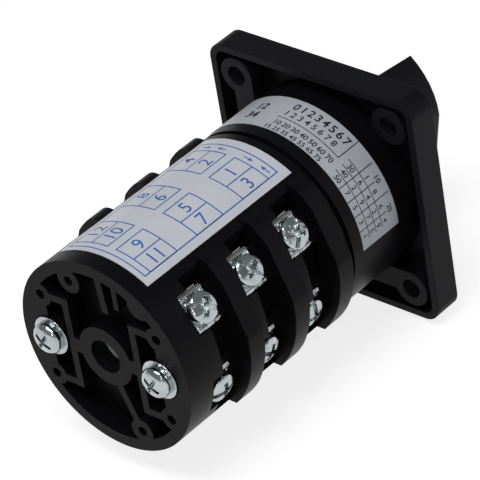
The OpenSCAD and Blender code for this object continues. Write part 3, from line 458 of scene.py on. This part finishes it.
class Print:
    """Collects flat printed shapes and lays them on a surface as one piece."""

    def __init__(self, name, material, lay):
        self.name, self.material, self.lay = name, material, lay
        self.points, self.faces = [], []

    def line(self, start, end, width):
        """A straight line, cut into short lengths so that it can follow the drum."""
        start, end = Vector(start), Vector(end)
        run = end - start
        count = max(1, round(run.length / LINE_STEP))
        side = Vector((-run.y, run.x)).normalized() * width / 2
        first = len(self.points)
        for i in range(count + 1):
            centre = start + run * i / count
            self.points += [tuple(centre + side), tuple(centre - side)]
        for i in range(count):
            j = first + 2 * i
            self.faces.append((j, j + 1, j + 3, j + 2))

    def box(self, corner, opposite, width):
        """The outline of a rectangle, with filled corners."""
        (x0, y0), (x1, y1) = corner, opposite
        corners = [Vector(c) for c in ((x0, y0), (x1, y0), (x1, y1), (x0, y1))]
        for i, start in enumerate(corners):
            end = corners[(i + 1) % len(corners)]
            reach = (end - start).normalized() * width / 2
            self.line(start - reach, end + reach, width)

    def arrow(self, tip, tail, y, width, head):
        """An arrow across the label, with a point of the given length."""
        back = math.copysign(head, tail - tip)
        half = ARROW_SHARE * back
        self.line((tip + back, y), (tail, y), width)
        first = len(self.points)
        self.points += [(tip, y), (tip + back, y - half), (tip + back, y + half)]
        self.faces.append((first, first + 1, first + 2))

    def number(self, text, centre, height, right, up, weight=DIGIT_WEIGHT):
        """A plain number, centred, with its reading and its up direction, cut to follow the drum."""
        curve = bpy.data.curves.new("digits", "FONT")
        curve.body = str(text)
        curve.align_x = "CENTER"
        curve.size = height / DIGIT_SHARE
        curve.offset = weight * curve.size
        curve.resolution_u = CURVE_STEPS
        holder = add_object("digits", curve)
        flat = bpy.data.meshes.new_from_object(holder.evaluated_get(bpy.context.evaluated_depsgraph_get()))
        shape = bmesh.new()
        shape.from_mesh(flat)
        for v in shape.verts:
            x, y = v.co.x, v.co.y - height / 2
            v.co = (centre[0] + x * right[0] + y * up[0], centre[1] + x * right[1] + y * up[1], 0)
        low = min(v.co.x for v in shape.verts)
        high = max(v.co.x for v in shape.verts)
        for i in range(1, int((high - low) / DIGIT_STEP) + 1):
            bmesh.ops.bisect_plane(shape, geom=shape.verts[:] + shape.edges[:] + shape.faces[:],
                                   plane_co=(low + i * DIGIT_STEP, 0, 0), plane_no=(1, 0, 0))
        shape.verts.index_update()
        first = len(self.points)
        self.points += [(v.co.x, v.co.y) for v in shape.verts]
        self.faces += [tuple(first + v.index for v in f.verts) for f in shape.faces]
        shape.free()
        bpy.data.objects.remove(holder)
        bpy.data.meshes.remove(flat)
        bpy.data.curves.remove(curve)

    def build(self):
        """Lays the print on its surface as a piece of the still body."""
        mesh = bpy.data.meshes.new(self.name)
        mesh.from_pydata(self.lay(self.points), [], self.faces)
        mesh.materials.append(self.material)
        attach(add_object(self.name, mesh), "switch_body")


def wiring_print():
    """Plain contact diagram: a frame, two boxes of two cells per deck, arrows and the numbers 1 to 12."""
    ink = Print("wiring_print", BLUE_INK, on_drum)
    rule = 0.34 * MM
    half_w = 12.4 * MM
    ink.box((-half_w, 27.2 * MM), (half_w, 74.9 * MM), rule)
    # First edge, dividing line and last edge of both boxes, and the numbers in their cells on the first deck
    boxes = ((-half_w, -6.1 * MM, -0.9 * MM, (4, 2)), (1.8 * MM, 7.2 * MM, half_w, (1, 3)))
    box_gap, box_len = 2.1 * MM, 9.4 * MM
    # The numbers read forwards along the shaft, with their tops towards +X
    reading, top = (0, -1), (-1, 0)
    digit_h, weight = 3.6 * MM, 0.002
    for k in DECKS:
        front = DECK_Y[k] + box_gap
        rear = front + box_len
        for left, divide, right, numbers in boxes:
            ink.box((left, front), (right, rear), rule)
            ink.line((divide, front), (divide, rear), rule)
            for place, number in zip(((left + divide) / 2, (divide + right) / 2), numbers):
                centre = (place, (front + rear) / 2)
                ink.number(number + 4 * (k - 1), centre, digit_h, reading, top, weight)
    arrow_y, arrow_rule, arrow_head = 28.8 * MM, 0.3 * MM, 1.3 * MM
    for tip_mm, tail_mm in ((-7.2, -10.1), (-5.1, -2.2), (6.2, 3.3), (8.5, 11.4)):
        ink.arrow(tip_mm * MM, tail_mm * MM, arrow_y, arrow_rule, arrow_head)
    ink.build()


def at_angle(degrees, y_mm):
    """A point of the rating label: its angle from the top towards -X, and its place along the shaft in mm."""
    return math.radians(degrees) * INK_R, y_mm * MM


def rating_print():
    """Rating label: four rows of plain numbers with two rules, two larger numbers and a table of numbers."""
    ink = Print("rating_print", DARK_INK, on_drum)
    reading, top = (1, 0), (0, -1)
    rule = 0.26 * MM

    # Angles are in degrees from the top towards -X, places along the shaft in mm
    rule_from, rule_to, rule_y = -1, 41.3, 11.5
    upright_at, upright_from = 41, 3.7
    ink.line(at_angle(rule_from, rule_y), at_angle(rule_to, rule_y), rule)
    ink.line(at_angle(upright_at, upright_from), at_angle(upright_at, rule_y), rule)
    # Each row: place along the shaft and height in mm, first angle and step in degrees, numbers, weight
    rows = ((6.3, 2.4, 3.0, 4.9, range(8), 0.02),
            (9.4, 1.9, 1.6, 4.6, range(1, 9), 0.014),
            (13.6, 1.6, 2.4, 6.0, range(10, 80, 10), 0.02),
            (15.9, 1.45, 0.0, 5.7, range(15, 85, 10), 0.02))
    for y, height, first, step, numbers, weight in rows:
        for i, number in enumerate(numbers):
            ink.number(number, at_angle(first + step * i, y), height * MM, reading, top, weight)
    larger_at, larger_h, larger_weight = -17, 2.6 * MM, 0.03
    for y, number in ((8.6, 12), (12.6, 34)):
        ink.number(number, at_angle(larger_at, y), larger_h, reading, top, larger_weight)

    table_from, table_to, table_end = 45, 87, 17.0
    for y in (9.4, 11.8, 14.3):
        ink.line(at_angle(table_from, y), at_angle(table_to, y), rule)
    for angle, start in ((54, 4.3), (62.8, 6.8), (71.6, 4.3), (80.4, 6.8)):
        ink.line(at_angle(angle, start), at_angle(angle, table_end), rule)
    cell_angles = (58.4, 67.2, 76, 84.4)
    cell_places = (8.1, 10.6, 13.05, 15.6)
    cells = [(angle, y, (7 * row + 5 * column) % 9 + 1)
             for row, angle in enumerate(cell_angles) for column, y in enumerate(cell_places)]
    # The numbers at the table's head, and those before its lines
    cells += [(62.4, 5.6, 10), (80, 5.6, 20)]
    cells += [(49.5, y, number) for y, number in zip(cell_places[1:], (30, 40, 50))]
    cell_h, cell_weight = 1.5 * MM, 0.02
    for angle, y, number in cells:
        ink.number(number, at_angle(angle, y), cell_h, reading, top, cell_weight)
    ink.build()


def dial_print():
    """Dial of a three-position switch: border, ticks and the position numbers."""
    ink = Print("dial_print", BLACK_INK, on_dial)
    half, border_rule = 27.8 * MM, 0.35 * MM
    ink.box((-half, -half), (half, half), border_rule)
    tick_from, tick_to, tick_rule = 18.4 * MM, 20.4 * MM, 0.6 * MM
    digit_at, digit_h = 24.2 * MM, 4.6 * MM
    left_limit, right_limit = handle_limits()
    for degrees, position in ((left_limit, 1), (0, 0), (right_limit, 2)):
        a = math.radians(degrees)
        way = Vector((math.sin(a), math.cos(a)))
        ink.line(way * tick_from, way * tick_to, tick_rule)
        ink.number(position, way * digit_at, digit_h, (1, 0), (0, 1))
    ink.build()


wiring_print()
rating_print()
dial_print()


# Stage, light and camera

# Side of the floor, and how far the lens sees, in metres
FLOOR_SIZE = 8
VIEW_END = 20
FLOOR_GAP = 1.5 * MM
# Strength of the floor's own light and of the ceiling's, and how high the white horizon reaches in mirrors
FLOOR_GLOW = 0.8
CEILING_GLOW = 0.22
HORIZON_TOP = 0.35
WHITE_LIGHT = (1.0, 1.0, 1.0, 1.0)
CEILING_LIGHT = (0.92, 0.95, 1.0, 1.0)
# Each lamp: where it stands, what it aims at and its two sides, in metres, and its power in watts
LAMPS = {
    "key_above": ((-0.08, 0.35, 0.85), (0, 0.03, 0), (0.45, 0.35), 4.4),
    "fill_rear_left": ((-0.75, 0.95, 0.7), (0, 0.04, 0), (0.3, 0.3), 1.9),
    "rim_front_left": ((-0.7, -0.6, 0.5), (0, 0.02, 0), (0.25, 0.5), 0.6),
}
# What the lens aims at and how far off it stands, solved on the plate, rear face and deck edges it sees
CAMERA_AIM = Vector((-0.798, 32.392, 3.152)) * MM
CAMERA_DISTANCE = 900 * MM
# Its angles in degrees: from straight behind towards +X, upwards, and about its own axis
CAMERA_TURN, CAMERA_RISE, CAMERA_ROLL = -46.105, 34.475, -10.017
# Sensor and focal length of a long lens, both in mm
SENSOR_WIDTH, FOCAL_LENGTH = 36, 280.2


def sees_background(tree):
    """1 for rays from the camera, a mirror or glass, which are to see the white background."""
    path = add(tree, "ShaderNodeLightPath")
    total = path.outputs["Is Camera Ray"]
    for kind in ("Is Glossy Ray", "Is Transmission Ray"):
        total = add(tree, "ShaderNodeMath", {0: total, 1: path.outputs[kind]}, operation="MAXIMUM").outputs[0]
    return total


def floor_material():
    """Pale seamless studio floor that photographs as white, with faint soft shadows left on it."""
    made, tree = new_material("studio_floor")
    base = add(tree, "ShaderNodeBsdfDiffuse", Color=srgb("#9c9c9e"))
    glow = add(tree, "ShaderNodeEmission", Color=WHITE_LIGHT, Strength=FLOOR_GLOW)
    both = add(tree, "ShaderNodeAddShader", {0: base.outputs[0], 1: glow.outputs[0]})
    mix = add(tree, "ShaderNodeMixShader", {0: sees_background(tree), 1: base.outputs[0], 2: both.outputs[0]})
    add(tree, "ShaderNodeOutputMaterial", {"Surface": mix.outputs[0]})
    return made


def build_floor():
    """The floor, just below the switch."""
    height = edge("front_plate", LOW, Z) - FLOOR_GAP
    bpy.ops.mesh.primitive_plane_add(size=FLOOR_SIZE, location=(0, 0, height))
    floor = bpy.context.object
    floor.name = "studio_floor"
    paint(floor, floor_material())


def build_world():
    """White to the camera; to mirrors, white at the horizon and a darker studio ceiling above it."""
    world = bpy.data.worlds.new("studio")
    bpy.context.scene.world = world
    world.use_nodes = True
    tree = world.node_tree
    tree.nodes.clear()
    path = add(tree, "ShaderNodeLightPath")
    height = add(tree, "ShaderNodeSeparateXYZ", {0: add(tree, "ShaderNodeTexCoord").outputs["Generated"]})
    low_sky = add(tree, "ShaderNodeMapRange", {"Value": height.outputs["Z"]}, interpolation_type="SMOOTHSTEP",
                  From_Min=0.0, From_Max=HORIZON_TOP, To_Min=1.0, To_Max=0.0)
    mirrored = add(tree, "ShaderNodeMath", operation="MAXIMUM",
                   links={0: path.outputs["Is Glossy Ray"], 1: path.outputs["Is Transmission Ray"]})
    horizon = add(tree, "ShaderNodeMath", operation="MULTIPLY",
                  links={0: mirrored.outputs[0], 1: low_sky.outputs[0]})
    seen = add(tree, "ShaderNodeMath", operation="MAXIMUM",
               links={0: horizon.outputs[0], 1: path.outputs["Is Camera Ray"]})
    ceiling = add(tree, "ShaderNodeBackground", Color=CEILING_LIGHT, Strength=CEILING_GLOW)
    white = add(tree, "ShaderNodeBackground", Color=WHITE_LIGHT, Strength=1.0)
    mix = add(tree, "ShaderNodeMixShader", {0: seen.outputs[0], 1: ceiling.outputs[0], 2: white.outputs[0]})
    add(tree, "ShaderNodeOutputWorld", {"Surface": mix.outputs[0]})


def softbox(name, place, aim, size, power):
    """A rectangular studio lamp."""
    light = bpy.data.lights.new(name, "AREA")
    light.shape = "RECTANGLE"
    light.size, light.size_y = size
    light.energy = power
    lamp = add_object(name, light)
    lamp.location = place
    lamp.rotation_euler = (Vector(aim) - Vector(place)).to_track_quat("-Z", "Y").to_euler()


def build_camera():
    """The photograph's view: from the rear, the left side and above, with a long lens."""
    lens = bpy.data.cameras.new("camera")
    lens.sensor_width = SENSOR_WIDTH
    lens.lens = FOCAL_LENGTH
    lens.clip_end = VIEW_END
    turn, rise, roll = (math.radians(a) for a in (CAMERA_TURN, CAMERA_RISE, CAMERA_ROLL))
    back = Vector((math.sin(turn) * math.cos(rise), math.cos(turn) * math.cos(rise), math.sin(rise)))
    place = Matrix.Translation(CAMERA_AIM + CAMERA_DISTANCE * back)
    aim = back.to_track_quat("Z", "Y").to_matrix().to_4x4()
    camera = add_object("camera", lens)
    camera.matrix_world = place @ aim @ Matrix.Rotation(roll, 4, "Z")
    bpy.context.scene.camera = camera


build_floor()
build_world()
for name, settings in LAMPS.items():
    softbox(name, *settings)
build_camera()
bpy.context.scene.view_settings.view_transform = "Standard"
